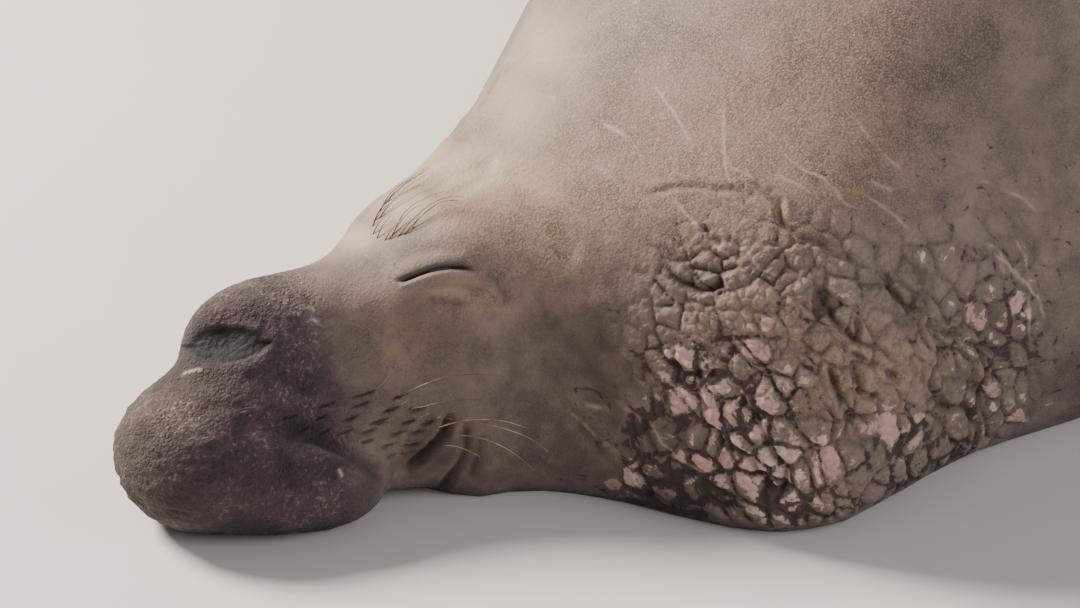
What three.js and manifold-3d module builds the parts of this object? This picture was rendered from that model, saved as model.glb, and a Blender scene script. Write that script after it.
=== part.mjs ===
// A bull elephant seal asleep on its belly, life size, as a still museum model.
// Millimetres, +Z up. The body lies along X with the head towards -X and the floor at Z = 0.
// The head is turned a little to the animal's right, and its nose is slumped on the floor to the left.

import * as THREE from "three";
import { mergeVertices } from "three/addons/utils/BufferGeometryUtils.js";
import Module from "manifold-3d";

const wasm = await Module();
wasm.setup();

// Driving dimensions
const GAP = 0.3; // clearance between touching nodes
const HEAD_YAW = THREE.MathUtils.degToRad(15);
const NECK_BACK = 940;
const CHEST_BACK = 1620;
const BELLY_BACK = 2480;
const RUMP_BACK = 3400;

// The body's outline behind the eyes: distance, height of the back, and how far to the
// right (+) or left (-) the spine, the left side and the right side lie.
const BODY_OUTLINE = [
  [0, 332, -12, -148, 118],
  [100, 362, -38, -262, 160],
  [190, 408, -75, -468, 190],
  [270, 455, -95, -532, 222],
  [360, 522, -105, -530, 268],
  [520, 645, -105, -512, 345],
  [720, 770, -100, -540, 405],
  [NECK_BACK, 860, -90, -585, 445],
  [1300, 930, -75, -630, 485],
  [1750, 905, -70, -625, 485],
  [2250, 765, -70, -545, 405],
  [2750, 545, -70, -415, 275],
  [3150, 345, -70, -288, 148],
  [RUMP_BACK, 225, -70, -212, 72],
  [3520, 165, -70, -160, 20],
];

// The body's sections: how square they are, round above and spread out flat on the floor,
// and how high their widest level is as a share of the back's height.
const ROUND_ABOVE = 2.3;
const ROUND_BELOW = 3.4;
const WIDEST_LEVEL = 0.32;

// Facets round a section of each length of the body, and the step between its sections
const NECK_AROUND = 69;
const NECK_STEP = 34;
const CHEST_AROUND = 36;
const CHEST_STEP = 110;
const BELLY_AROUND = 32;
const RUMP_AROUND = 28;
const BODY_STEP = 120;

const SIDES = [
  [1, "left"],
  [-1, "right"],
];

// Rounded masses of flesh in the head's frame, each a centre and three radii.
const pair = (at, radii) => [
  { at, radii },
  { at: [at[0], -at[1], at[2]], radii },
];
const SKULL_FLESH = [
  { at: [-70, 6, 182], radii: [172, 142, 142] }, // cranium
  { at: [-120, 0, 80], radii: [160, 165, 100] }, // throat
  { at: [105, 0, 128], radii: [118, 98, 84] }, // muzzle
  { at: [75, 0, 200], radii: [112, 78, 68] }, // bridge of the nose
  { at: [178, 0, 183], radii: [108, 92, 86] }, // nose cushion
  { at: [-30, 76, 264], radii: [78, 42, 44] }, // left brow
  { at: [-46, -60, 232], radii: [74, 42, 42] }, // right brow, lower as the head leans
  ...pair([-40, 85, 112], [150, 88, 100]), // cheeks
  ...pair([100, 74, 112], [92, 66, 60]), // whisker pads
  ...pair([152, 68, 140], [86, 70, 48]), // upper lip above the nose tip
];
const NOSE_TIP_FLESH = [
  { at: [285, 50, 86], radii: [108, 112, 92] }, // front lobe
  { at: [228, 30, 130], radii: [85, 98, 70] }, // its root under the cushion
  { at: [190, 98, 68], radii: [112, 92, 75] }, // the side slumped to the left
  { at: [131, 112, 59], radii: [65, 73, 61] }, // the folded tip
];
const JAW_FLESH = [{ at: [18, 0, 40], radii: [135, 150, 50] }];
const FLESH_BLEND = 13; // size of the fillets between them
const HEAD_MIDDLE = [-48, 34, 150];
const NOSE_TIP_MIDDLE = [225, 50, 88];
const JAW_MIDDLE = [20, 0, 30];

// The neck is parted from the head at a point on the body's line, the cushion from the face
const NECK_PLANE_X = 217;
const NECK_PLANE_TURN = THREE.MathUtils.degToRad(-22.7);
const FACE_PLANE_AT = [85, 0, 300];
const FACE_PLANE_TILT = THREE.MathUtils.degToRad(32.5);

// The wet hollow of the nose and the two nostrils at its tip
const NOSE_HOLLOW = { at: [247, 64, 229], radii: [30, 60, 19] };
const NOSTRILS = [20, 76].map((left) => ({ at: [384, left, 52], radii: [26, 12, 17] }));

// Eyes, each set by a point near the skin, with the lids as a shell round the eyeball
const EYE_SEATS = { left: [-8, 110, 296], right: [-14, -112, 262] };
const EYE_RADIUS = 26;
const EYE_DEPTH = 25; // centre of the eyeball under the skin
const LID_RADII = [56, 31, 37];
const SLIT = 2; // half the width of the slit between the lids

// Whisker pads and ear openings, the ear turned from a profile of radius and height
const PAD_AT = [88, 128, 118];
const PAD_RADII = [62, 48, 50];
const EAR_AT = [-150, 170, 300];
const EAR_PROFILE = [
  [0, -12],
  [14, -12],
  [14, -1],
  [11, 3],
  [7, 4],
  [4, 1],
  [3, -6],
  [0, -7],
];
const EAR_SEAT = [
  [0, -12 - GAP],
  [14 + GAP, -12 - GAP],
  [14 + GAP, 20],
  [0, 20],
];

// The shield: cobbles of thickened skin on the front and sides of the neck
const COBBLE_HEIGHT = 11;
const SEAM_DEPTH = 4;
const SHIELD_ASIDE = [190, 270]; // from the spine, where it fades in
const SHIELD_LOW = [8, 40]; // above the floor
const SHIELD_TOP = { left: 430, right: 330 };
const SHIELD_FADE = 130;
const SHIELD_BACK = [540, 700];

// Fore flippers: where each leaves the chest, and each digit's place and reach
const FORE_ROOT_X = 1330;
const FORE_OUT = 0.5; // sideways part of the way they point
const CLAW_LENGTH = 46;
const FORE_DIGITS = [
  [-62, 385],
  [-30, 402],
  [4, 385],
  [36, 350],
  [64, 305],
];

// Hind flippers: each ray's place across the foot and its reach
const HIND_RAYS = [
  [-30, 350],
  [8, 318],
  [48, 312],
  [92, 345],
  [140, 410],
];

// Colours
const HIDE = 0x7a6a60;
const NOSE_HIDE = 0x564b4b;
const SHIELD_HIDE = 0x8d7268;
const BELLY_HIDE = 0x81705f;
const EYE_BLACK = 0x0d0c0e;
const CLAW_HORN = 0x2b2725;

// Smooth reading of one column of the outline, with slopes from its neighbours.
function outlineAt(x, column) {
  const rows = BODY_OUTLINE;
  let i = rows.findIndex((row) => row[0] > x) - 1;
  if (i === -2) i = rows.length - 2;
  i = Math.max(0, i);
  const slope = (k) => {
    const a = rows[Math.max(0, k - 1)];
    const b = rows[Math.min(rows.length - 1, k + 1)];
    return (b[column] - a[column]) / (b[0] - a[0]);
  };
  const span = rows[i + 1][0] - rows[i][0];
  const t = THREE.MathUtils.clamp((x - rows[i][0]) / span, -0.5, 1.2);
  const t2 = t * t;
  const t3 = t2 * t;
  return (
    (2 * t3 - 3 * t2 + 1) * rows[i][column] +
    (t3 - 2 * t2 + t) * span * slope(i) +
    (3 * t2 - 2 * t3) * rows[i + 1][column] +
    (t3 - t2) * span * slope(i + 1)
  );
}

// A cross-section of the body: its spine, half widths, widest level and reach above and below.
function sectionAt(x) {
  const top = outlineAt(x, 1);
  const spine = outlineAt(x, 2);
  const level = top * WIDEST_LEVEL;
  return {
    spine,
    left: spine - outlineAt(x, 3),
    right: outlineAt(x, 4) - spine,
    level,
    above: top - level,
    below: level * 1.4,
  };
}

function sectionPoint(x, turn, swell = 0) {
  const { spine, left, right, level, above, below } = sectionAt(x);
  const high = Math.cos(turn) > 0;
  const half = Math.sin(turn) > 0 ? right : left;
  const power = 2 / (high ? ROUND_ABOVE : ROUND_BELOW);
  const round = (v) => Math.sign(v) * Math.abs(v) ** power;
  return new THREE.Vector3(
    x,
    spine + (half + swell) * round(Math.sin(turn)),
    Math.max(0, level + ((high ? above : below) + swell) * round(Math.cos(turn))),
  );
}

// Turning three.js geometry into a solid and back
function solidOf(geometry) {
  const bare = geometry.clone();
  bare.deleteAttribute("normal");
  bare.deleteAttribute("uv");
  const merged = mergeVertices(bare, 1e-3);
  const corners = merged.index.array;
  const triangles = [];
  for (let i = 0; i < corners.length; i += 3) {
    const [a, b, c] = corners.slice(i, i + 3);
    if (a !== b && b !== c && c !== a) triangles.push(a, b, c);
  }
  return new wasm.Manifold(
    new wasm.Mesh({
      numProp: 3,
      vertProperties: merged.attributes.position.array,
      triVerts: new Uint32Array(triangles),
    }),
  );
}

// The largest closed surface of a solid, so that no loose scrap of a cut is kept.
function mainBody(solid) {
  const pieces = solid.decompose();
  return pieces.reduce((a, b) => (b.volume() > a.volume() ? b : a));
}

function geometryOf(solid) {
  const mesh = solid.getMesh();
  const position = new Float32Array(mesh.numVert * 3);
  for (let i = 0; i < mesh.numVert; i++)
    position.set(
      mesh.vertProperties.subarray(i * mesh.numProp, i * mesh.numProp + 3),
      i * 3,
    );
  const geometry = new THREE.BufferGeometry()
    .setAttribute("position", new THREE.BufferAttribute(position, 3))
    .setIndex(new THREE.BufferAttribute(mesh.triVerts, 1));
  geometry.computeVertexNormals();
  return geometry;
}

const unite = (solids) => solids.reduce((a, b) => a.add(b));

// A closed tube of rings, each a list of points, with a fan at each end. Every other ring
// is set half a step round, so that its triangles are near equilateral.
function loft(rings) {
  const count = rings[0].length;
  const position = rings.flat();
  const index = [];
  for (let j = 0; j + 1 < rings.length; j++)
    for (let i = 0; i < count; i++) {
      const a = j * count + i;
      const b = j * count + ((i + 1) % count);
      const c = a + count;
      const d = b + count;
      if (j % 2) index.push(a, c, d, a, d, b);
      else index.push(a, c, b, b, c, d);
    }
  const middle = (ring) =>
    ring
      .reduce((sum, p) => sum.add(p), new THREE.Vector3())
      .divideScalar(count);
  const first = position.push(middle(rings[0])) - 1;
  const last = position.push(middle(rings.at(-1))) - 1;
  const end = (rings.length - 1) * count;
  for (let i = 0; i < count; i++) {
    const next = (i + 1) % count;
    index.push(first, i, next);
    index.push(last, end + next, end + i);
  }
  return new THREE.BufferGeometry().setFromPoints(position).setIndex(index);
}

// Small repeatable random numbers
function randomFrom(seed) {
  let state = seed;
  return () => {
    state = (state * 1664525 + 1013904223) % 4294967296;
    return state / 4294967296;
  };
}

// The head's own frame: forward, to the animal's left, and up.
const FORWARD = new THREE.Vector3(-Math.cos(HEAD_YAW), Math.sin(HEAD_YAW), 0);
const LEFT = new THREE.Vector3(-Math.sin(HEAD_YAW), -Math.cos(HEAD_YAW), 0);
function fromHead(forward, left, up) {
  return new THREE.Vector3(0, 0, up)
    .addScaledVector(FORWARD, forward)
    .addScaledVector(LEFT, left);
}

// Rough distance from a point to an ellipsoid, negative inside.
function ellipsoidDistance(p, { at, radii }) {
  let near = 0;
  let steep = 0;
  for (let k = 0; k < 3; k++) {
    const q = (p[k] - at[k]) / radii[k];
    near += q * q;
    steep += (q / radii[k]) ** 2;
  }
  near = Math.sqrt(near);
  return steep ? (near * (near - 1)) / Math.sqrt(steep) : -Math.min(...radii);
}

// Masses melted together, with a fillet of about the blend's size.
function melted(distances, blend) {
  const sum = distances.reduce((s, d) => s + Math.exp(-d / blend), 0);
  return -blend * Math.log(sum);
}

function neckDistance(point) {
  const { spine, left, right, level, above, below } = sectionAt(
    Math.max(40, point.x),
  );
  const high = point.z > level;
  const power = high ? ROUND_ABOVE : ROUND_BELOW;
  const half = point.y > spine ? right : left;
  const near =
    (Math.abs((point.y - spine) / half) ** power +
      Math.abs((point.z - level) / (high ? above : below)) ** power +
      (Math.max(0, 40 - point.x) / 90) ** 2) **
    (1 / power);
  return (near - 1) * Math.min(half, above);
}

function inHead(point) {
  return [point.dot(FORWARD), point.dot(LEFT), point.z];
}
function headDistance(point) {
  const p = inHead(point);
  const distances = SKULL_FLESH.map((mass) => ellipsoidDistance(p, mass));
  distances.push(neckDistance(point));
  return melted(distances, FLESH_BLEND);
}
const massDistance = (masses) => (point) => {
  const p = inHead(point);
  return melted(
    masses.map((mass) => ellipsoidDistance(p, mass)),
    FLESH_BLEND,
  );
};

// A ball whose points are pushed out from its centre to where the distance becomes nought.
function swollenBall(centre, detail, distance, { swell = 0, reach = 900 } = {}) {
  const ball = new THREE.IcosahedronGeometry(1, detail);
  const position = ball.attributes.position;
  const step = 10;
  const way = new THREE.Vector3();
  const at = (r) => distance(centre.clone().addScaledVector(way, r)) - swell;
  for (let i = 0; i < position.count; i++) {
    way.fromBufferAttribute(position, i).normalize();
    let outer = step;
    while (outer < reach && at(outer) < 0) outer += step;
    let inner = outer - step;
    for (let k = 0; k < 14; k++) {
      const half = (inner + outer) / 2;
      if (at(half) < 0) inner = half;
      else outer = half;
    }
    position.setXYZ(i, ...centre.clone().addScaledVector(way, inner));
  }
  return solidOf(ball);
}

// Trims a solid to the side of a plane that the direction points to.
function keepBeyond(solid, direction, point) {
  const n = direction.clone().normalize();
  return solid.trimByPlane([n.x, n.y, n.z], n.dot(point));
}
const UP = new THREE.Vector3(0, 0, 1);
const TAILWARD = new THREE.Vector3(1, 0, 0);
const onFloor = (solid) => keepBeyond(solid, UP, new THREE.Vector3());

// Where a point near the skin of the head falls on it, and which way the skin faces there.
function onHead(forward, left, up) {
  const point = fromHead(forward, left, up);
  const facing = new THREE.Vector3();
  for (let k = 0; k < 20; k++) {
    const here = headDistance(point);
    const slope = ["x", "y", "z"].map((axis) => {
      const aside = point.clone();
      aside[axis] += 1;
      return headDistance(aside) - here;
    });
    facing.set(...slope).normalize();
    point.addScaledVector(facing, -0.7 * here);
  }
  return { point, facing };
}

// A three.js form moved to a place, its own X, Y and Z laid along three directions.
function placed(geometry, point, along, across) {
  const x = along.clone().normalize();
  const z = x.clone().cross(across).normalize();
  const y = z.clone().cross(x);
  const matrix = new THREE.Matrix4().makeBasis(x, y, z).setPosition(point);
  return solidOf(geometry.clone().applyMatrix4(matrix));
}

// An ellipsoid with its radii along a direction, across it, and square to both.
function ellipsoid(radii, detail, point, along, across, swell = 0) {
  const form = new THREE.IcosahedronGeometry(1, detail);
  form.scale(...radii.map((r) => r + swell));
  return placed(form, point, along, across);
}
const inHeadFrame = (at, radii, detail, swell = 0) =>
  ellipsoid(radii, detail, fromHead(...at), FORWARD, LEFT, swell);

const parts = {};
const colours = {};
function addPart(name, solid, colour) {
  parts[name] = mainBody(solid);
  colours[name] = colour;
}

// Head: the plane that parts it from the neck runs slanting, behind both ears.
const NECK_PLANE = new THREE.Vector3(
  Math.cos(NECK_PLANE_TURN),
  Math.sin(NECK_PLANE_TURN),
  0,
);
const NECK_PLANE_POINT = new THREE.Vector3(NECK_PLANE_X, 0, 0);
const beyondNeckPlane = (p) => p.dot(NECK_PLANE) - NECK_PLANE_POINT.dot(NECK_PLANE);
const wholeHead = onFloor(
  keepBeyond(
    swollenBall(fromHead(...HEAD_MIDDLE), 10, (p) =>
      Math.max(headDistance(p), beyondNeckPlane(p) - 60),
    ),
    NECK_PLANE.clone().negate(),
    NECK_PLANE_POINT.clone().addScaledVector(NECK_PLANE, -GAP),
  ),
);

// Nose tip and lower jaw, each with a slightly larger copy that cuts its seat in the head
function swollenPair(centre, detail, masses) {
  const distance = massDistance(masses);
  return [0, GAP].map((swell) =>
    swollenBall(centre, detail, distance, { swell }),
  );
}
const [noseTip, noseTipSeat] = swollenPair(
  fromHead(...NOSE_TIP_MIDDLE),
  6,
  NOSE_TIP_FLESH,
);
const [jaw, jawSeat] = swollenPair(fromHead(...JAW_MIDDLE), 4, JAW_FLESH);

// The plane that parts the nose cushion from the face, sloping forwards and down.
const FACE_PLANE_POINT = fromHead(...FACE_PLANE_AT);
const FACE_PLANE = FORWARD.clone()
  .multiplyScalar(Math.cos(FACE_PLANE_TILT))
  .addScaledVector(UP, Math.sin(FACE_PLANE_TILT));

// The nose cushion, with the wet transverse hollow where it folds over the tip
const noseHollow = inHeadFrame(NOSE_HOLLOW.at, NOSE_HOLLOW.radii, 3);
const noseCushion = keepBeyond(
  wholeHead,
  FACE_PLANE,
  FACE_PLANE_POINT.clone().addScaledVector(FACE_PLANE, GAP),
)
  .subtract(noseTipSeat)
  .subtract(noseHollow);
addPart("nose_cushion", noseCushion, NOSE_HIDE);

// The nose tip, with the two nostrils low at its front
const nostrils = NOSTRILS.map(({ at, radii }) => inHeadFrame(at, radii, 2));
const nostrilTip = nostrils.reduce((tip, pit) => tip.subtract(pit), noseTip);
addPart("nose_tip", onFloor(nostrilTip), NOSE_HIDE);
addPart("lower_jaw", onFloor(jaw).subtract(noseTipSeat), HIDE);

let face = keepBeyond(wholeHead, FACE_PLANE.clone().negate(), FACE_PLANE_POINT)
  .subtract(noseTipSeat)
  .subtract(jawSeat);

// Each side of the face: the whisker pad, the shut eye between its lids, and the ear opening
for (const [side, name] of SIDES) {
  const padForm = (swell) =>
    inHeadFrame([PAD_AT[0], PAD_AT[1] * side, PAD_AT[2]], PAD_RADII, 3, swell);
  addPart(`whisker_pad_${name}`, face.intersect(padForm(0)), HIDE);
  face = face.subtract(padForm(GAP));

  const skin = onHead(...EYE_SEATS[name]);
  const outward = skin.facing;
  const slit = FORWARD.clone()
    .multiplyScalar(0.93)
    .addScaledVector(LEFT, -0.33 * side)
    .addScaledVector(UP, -0.14);
  const centre = skin.point.clone().addScaledVector(outward, -EYE_DEPTH);
  const eyeball = (swell) =>
    ellipsoid(Array(3).fill(EYE_RADIUS), 2, centre, slit, outward, swell);
  const lids = (swell) => ellipsoid(LID_RADII, 3, centre, slit, outward, swell);
  const lidFlesh = lids(0).subtract(eyeball(GAP));
  const openUp = slit.clone().cross(outward).normalize();
  if (openUp.z < 0) openUp.negate();
  addPart(`eye_${name}`, eyeball(0), EYE_BLACK);
  addPart(
    `upper_lid_${name}`,
    keepBeyond(lidFlesh, openUp, centre.clone().addScaledVector(openUp, SLIT)),
    HIDE,
  );
  addPart(
    `lower_lid_${name}`,
    keepBeyond(
      lidFlesh,
      openUp.clone().negate(),
      centre.clone().addScaledVector(openUp, -SLIT),
    ),
    HIDE,
  );
  face = face.subtract(lids(GAP));

  const temple = onHead(EAR_AT[0], EAR_AT[1] * side, EAR_AT[2]);
  const aside = temple.facing.clone().cross(UP);
  const turned = (profile) =>
    placed(
      new THREE.LatheGeometry(
        profile.map(([radius, height]) => new THREE.Vector2(radius, height)),
        16,
      ).rotateX(Math.PI / 2),
      temple.point,
      aside,
      temple.facing.clone().cross(aside),
    );
  addPart(`ear_${name}`, turned(EAR_PROFILE), NOSE_HIDE);
  face = face.subtract(turned(EAR_SEAT));
}
addPart("head", face, HIDE);

// Body. Rings stand across it, and lean to the neck's plane where they near the head.
const NECK_LEAN = -NECK_PLANE.y / NECK_PLANE.x;
function ringAt(x, around, odd, lean, swell = 0) {
  const ring = [];
  for (let i = 0; i < around; i++) {
    const turn = ((i + (odd ? 0.5 : 0)) / around) * Math.PI * 2;
    let near = x - 400;
    let far = x + 400;
    while (lean && far - near > 1e-4) {
      const middle = (near + far) / 2;
      const at = x + lean * sectionPoint(middle, turn, swell).y;
      if (middle < at) near = middle;
      else far = middle;
    }
    ring.push(sectionPoint(lean ? near : x, turn, swell));
  }
  return ring;
}
function bodyRings(from, to, around, step, leanAt = () => 0, swell = 0) {
  const count = Math.max(2, Math.round((to - from) / step));
  return Array.from({ length: count + 1 }, (_, j) => {
    const x = THREE.MathUtils.lerp(from, to, j / count);
    return ringAt(x, around, j % 2, leanAt(j / count), swell);
  });
}

// The chest shield: cobbles of thickened, scarred skin round the front and sides of the neck,
// a raised point at every third corner of the mesh and a sunk seam round it.
const neckRings = bodyRings(
  NECK_PLANE_POINT.x,
  NECK_BACK - GAP,
  NECK_AROUND,
  NECK_STEP,
  (t) => NECK_LEAN * (1 - t) ** 1.5,
);
const chance = randomFrom(7);
const { smoothstep } = THREE.MathUtils;
for (let j = 1; j < neckRings.length - 1; j++)
  for (let i = 0; i < NECK_AROUND; i++) {
    const point = neckRings[j][i];
    const { spine } = sectionAt(point.x);
    const aside = Math.abs(point.y - spine);
    const highest = point.y < spine ? SHIELD_TOP.left : SHIELD_TOP.right;
    const shield =
      smoothstep(aside, ...SHIELD_ASIDE) *
      smoothstep(point.z, ...SHIELD_LOW) *
      (1 - smoothstep(point.z, highest - SHIELD_FADE, highest)) *
      (1 - smoothstep(point.x, ...SHIELD_BACK));
    const cell = (i - Math.floor(j / 2) + 2 * j + 300) % 3;
    const lift = cell === 0 ? COBBLE_HEIGHT * (0.6 + 0.6 * chance()) : -SEAM_DEPTH;
    const outward = new THREE.Vector3(0, point.y - spine, point.z - 130);
    point.addScaledVector(outward.normalize(), shield * lift);
  }
addPart("neck", solidOf(loft(neckRings)), SHIELD_HIDE);

const bodyLength = (...sizes) => solidOf(loft(bodyRings(...sizes)));
addPart(
  "chest",
  bodyLength(NECK_BACK, CHEST_BACK - GAP, CHEST_AROUND, CHEST_STEP),
  HIDE,
);
addPart(
  "belly",
  bodyLength(CHEST_BACK, BELLY_BACK - GAP, BELLY_AROUND, BODY_STEP),
  BELLY_HIDE,
);
addPart("rump", bodyLength(BELLY_BACK, RUMP_BACK, RUMP_AROUND, BODY_STEP), HIDE);

// A tapering limb: oval sections along a path, each [place, half width, half thickness].
function limb(sections, around, across) {
  const rings = sections.map(([place, width, thick], j) => {
    const next = sections[Math.min(j + 1, sections.length - 1)][0];
    const last = sections[Math.max(j - 1, 0)][0];
    const along = next.clone().sub(last).normalize();
    const side = across.clone().addScaledVector(along, -across.dot(along));
    side.normalize();
    const up = along.clone().cross(side);
    return Array.from({ length: around }, (_, i) => {
      const turn = ((i + (j % 2) / 2) / around) * Math.PI * 2;
      return place
        .clone()
        .addScaledVector(side, width * Math.sin(turn))
        .addScaledVector(up, thick * Math.cos(turn));
    });
  });
  return solidOf(loft(rings));
}

// Fore flippers: a broad wrist out of the chest, five digits joined by skin, and on each digit
// a strong curved claw of dark horn set in its own socket.
const chestSeat = solidOf(
  loft(
    bodyRings(
      NECK_BACK + 60,
      CHEST_BACK + 240,
      CHEST_AROUND,
      CHEST_STEP,
      () => 0,
      GAP + 1.5,
    ),
  ),
);
for (const [side, name] of SIDES) {
  const away = new THREE.Vector3(Math.sqrt(1 - FORE_OUT ** 2), -FORE_OUT * side, 0);
  const fore = new THREE.Vector3(-FORE_OUT * side, -away.x, 0).multiplyScalar(side);
  const edge = side > 0 ? outlineAt(FORE_ROOT_X, 3) : outlineAt(FORE_ROOT_X, 4);
  const root = new THREE.Vector3(FORE_ROOT_X, edge, 0);
  const at = (along, forward, up) =>
    root
      .clone()
      .addScaledVector(away, along)
      .addScaledVector(fore, forward)
      .addScaledVector(UP, up);
  const palm = limb(
    [
      [at(-130, 0, 95), 78, 46],
      [at(-40, 0, 78), 82, 44],
      [at(60, 0, 48), 84, 36],
      [at(150, 0, 26), 90, 25],
      [at(230, 0, 16), 88, 16],
      [at(290, -4, 10), 76, 10],
    ],
    14,
    fore,
  );
  const claws = [];
  const digits = FORE_DIGITS.map(([forward, length], k) => {
    const tip = at(length, forward * 1.15, 15);
    const claw = (swell) =>
      limb(
        [
          [at(length - 30, forward * 1.12, 20), 6 + swell, 5 + swell],
          [at(length - 4, forward * 1.15, 19), 7.5 + swell, 7 + swell],
          [at(length + 16, forward * 1.17, 15), 5.5, 5.5],
          [at(length - 30 + CLAW_LENGTH + 18, forward * 1.18, 5), 1.6, 1.8],
        ],
        6,
        fore,
      );
    claws.push(claw);
    addPart(`claw_${name}_${k + 1}`, claw(0), CLAW_HORN);
    return limb(
      [
        [at(120, forward * 0.75, 26), 15, 16],
        [at(230, forward * 0.95, 20), 17, 17],
        [at(length - 50, forward * 1.1, 17), 15, 15],
        [tip, 11, 12],
      ],
      6,
      fore,
    );
  });
  const cut = [chestSeat, ...claws.map((claw) => claw(GAP))];
  const flipper = cut.reduce((a, b) => a.subtract(b), unite([palm, ...digits]));
  addPart(`fore_flipper_${name}`, onFloor(flipper), NOSE_HIDE);
}

// Tail: a short flat stub between the hind flippers
const RUMP_MIDDLE = outlineAt(RUMP_BACK, 2);
const tail = (swell) =>
  limb(
    [
      [new THREE.Vector3(RUMP_BACK - 30, RUMP_MIDDLE, 170), 58 + swell, 40 + swell],
      [new THREE.Vector3(3470, RUMP_MIDDLE, 142), 50 + swell, 30 + swell],
      [new THREE.Vector3(3540, RUMP_MIDDLE, 112), 38 + swell, 20 + swell],
      [new THREE.Vector3(3590, RUMP_MIDDLE, 90), 18 + swell, 9 + swell],
    ],
    12,
    new THREE.Vector3(0, 1, 0),
  );
const behindRump = (solid) =>
  keepBeyond(solid, TAILWARD, new THREE.Vector3(RUMP_BACK + GAP, 0, 0));
addPart("tail", behindRump(tail(0)), HIDE);

// Hind flippers: soles together at the ankle, then five rays, the outer ones longest
for (const [side, name] of SIDES) {
  const at = (along, out, up) =>
    new THREE.Vector3(RUMP_BACK + along, RUMP_MIDDLE - side * (74 + out), up);
  const acrossFoot = new THREE.Vector3(0, 1, 0);
  const foot = limb(
    [
      [at(-30, 0, 80), 62, 78],
      [at(80, 4, 64), 62, 62],
      [at(160, 14, 44), 68, 44],
      [at(240, 28, 26), 84, 27],
      [at(320, 42, 14), 98, 14],
      [at(360, 48, 9), 88, 8],
    ],
    14,
    acrossFoot,
  );
  const rays = HIND_RAYS.map(([out, length]) =>
    limb(
      [
        [at(150, 14 + out * 0.45, 34), 15, 15],
        [at(260, 14 + out * 0.75, 24), 18, 17],
        [at(length + 20, 14 + out * 1.05, 15), 17, 13],
        [at(length + 90, 14 + out * 1.25, 9), 9, 8],
      ],
      6,
      acrossFoot,
    ),
  );
  const inner = new THREE.Vector3(0, -side, 0);
  const flipper = keepBeyond(
    unite([foot, ...rays]).subtract(tail(GAP)),
    inner,
    new THREE.Vector3(0, RUMP_MIDDLE - side * GAP, 0),
  );
  addPart(`hind_flipper_${name}`, behindRump(onFloor(flipper)), NOSE_HIDE);
}

// The origin goes to the middle of the whole animal, on the floor.
const seal = new THREE.Group();
const whole = new THREE.Box3();
for (const [name, solid] of Object.entries(parts)) {
  const mesh = new THREE.Mesh(
    geometryOf(solid),
    new THREE.MeshStandardMaterial({
      color: colours[name],
      roughness: name.startsWith("eye") ? 0.25 : 0.8,
      metalness: 0,
    }),
  );
  mesh.name = name;
  whole.expandByObject(mesh);
  seal.add(mesh);
}
const middle = whole.getCenter(new THREE.Vector3());
for (const mesh of seal.children) mesh.geometry.translate(-middle.x, -middle.y, 0);

export default seal;
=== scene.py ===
import math

import bmesh
import bpy
import numpy as np
from mathutils import Matrix, Vector, noise
from mathutils.bvhtree import BVHTree


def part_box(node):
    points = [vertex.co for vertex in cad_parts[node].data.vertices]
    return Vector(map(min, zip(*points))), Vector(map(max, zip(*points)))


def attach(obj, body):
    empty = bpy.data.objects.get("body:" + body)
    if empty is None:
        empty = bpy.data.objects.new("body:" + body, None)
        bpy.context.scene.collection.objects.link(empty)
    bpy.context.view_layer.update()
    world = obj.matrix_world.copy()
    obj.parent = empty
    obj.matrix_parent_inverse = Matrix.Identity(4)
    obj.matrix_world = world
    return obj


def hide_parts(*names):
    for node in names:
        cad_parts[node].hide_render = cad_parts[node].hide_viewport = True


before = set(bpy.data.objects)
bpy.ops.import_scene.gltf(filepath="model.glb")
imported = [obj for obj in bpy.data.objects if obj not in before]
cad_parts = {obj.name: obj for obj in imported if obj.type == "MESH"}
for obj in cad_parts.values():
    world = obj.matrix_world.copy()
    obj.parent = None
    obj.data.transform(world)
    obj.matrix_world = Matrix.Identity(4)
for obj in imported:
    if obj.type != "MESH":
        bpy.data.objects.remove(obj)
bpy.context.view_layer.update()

# The viewpoint. The camera stands to the animal's left and front, a little above it, eight
# metres off with a long lens, and it also serves to lay folds and scars where they are seen.
head_before_chest = 0.940
head_aside = 0.070
tail_middle = (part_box("tail")[0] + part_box("tail")[1]) / 2
head_foot = Vector((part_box("chest")[0].x - head_before_chest, tail_middle.y + head_aside, 0))
view_turn = math.radians(-40)
view_height = math.radians(28)
view_distance = 8.0
dots_per_radian = 6667
picture_size = (1080, 608)
eye_dot = (435, 272)
level = math.cos(view_height)
camera_back = Vector(
    (math.sin(view_turn) * level, -math.cos(view_turn) * level, math.sin(view_height))
)
camera_right = Vector((math.cos(view_turn), math.sin(view_turn), 0))
camera_up = camera_right.cross(-camera_back)
left_eye = head_foot + Vector((-0.028, -0.108, 0.300))
dot_size = view_distance / dots_per_radian
camera_place = (
    left_eye
    + camera_back * view_distance
    - camera_right * ((eye_dot[0] - picture_size[0] / 2) * dot_size)
    + camera_up * ((eye_dot[1] - picture_size[1] / 2) * dot_size)
)


def placed(data):
    """A new object made of a mesh, camera or lamp, at the origin and named as that is."""
    thing = bpy.data.objects.new(data.name, data)
    bpy.context.scene.collection.objects.link(thing)
    return thing


camera = placed(bpy.data.cameras.new("camera"))
camera.location = camera_place
camera.rotation_euler = (-camera_back).to_track_quat("-Z", "Y").to_euler()
sensor_width = 36
camera.data.sensor_width = sensor_width
camera.data.lens = sensor_width * dots_per_radian / picture_size[0]
camera.data.clip_end = 100
bpy.context.scene.camera = camera


def sight(dot):
    """The direction in which one dot of the picture is seen."""
    across = (dot[0] - picture_size[0] / 2) / dots_per_radian
    down = (dot[1] - picture_size[1] / 2) / dots_per_radian
    return (-camera_back + camera_right * across - camera_up * down).normalized()


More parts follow.
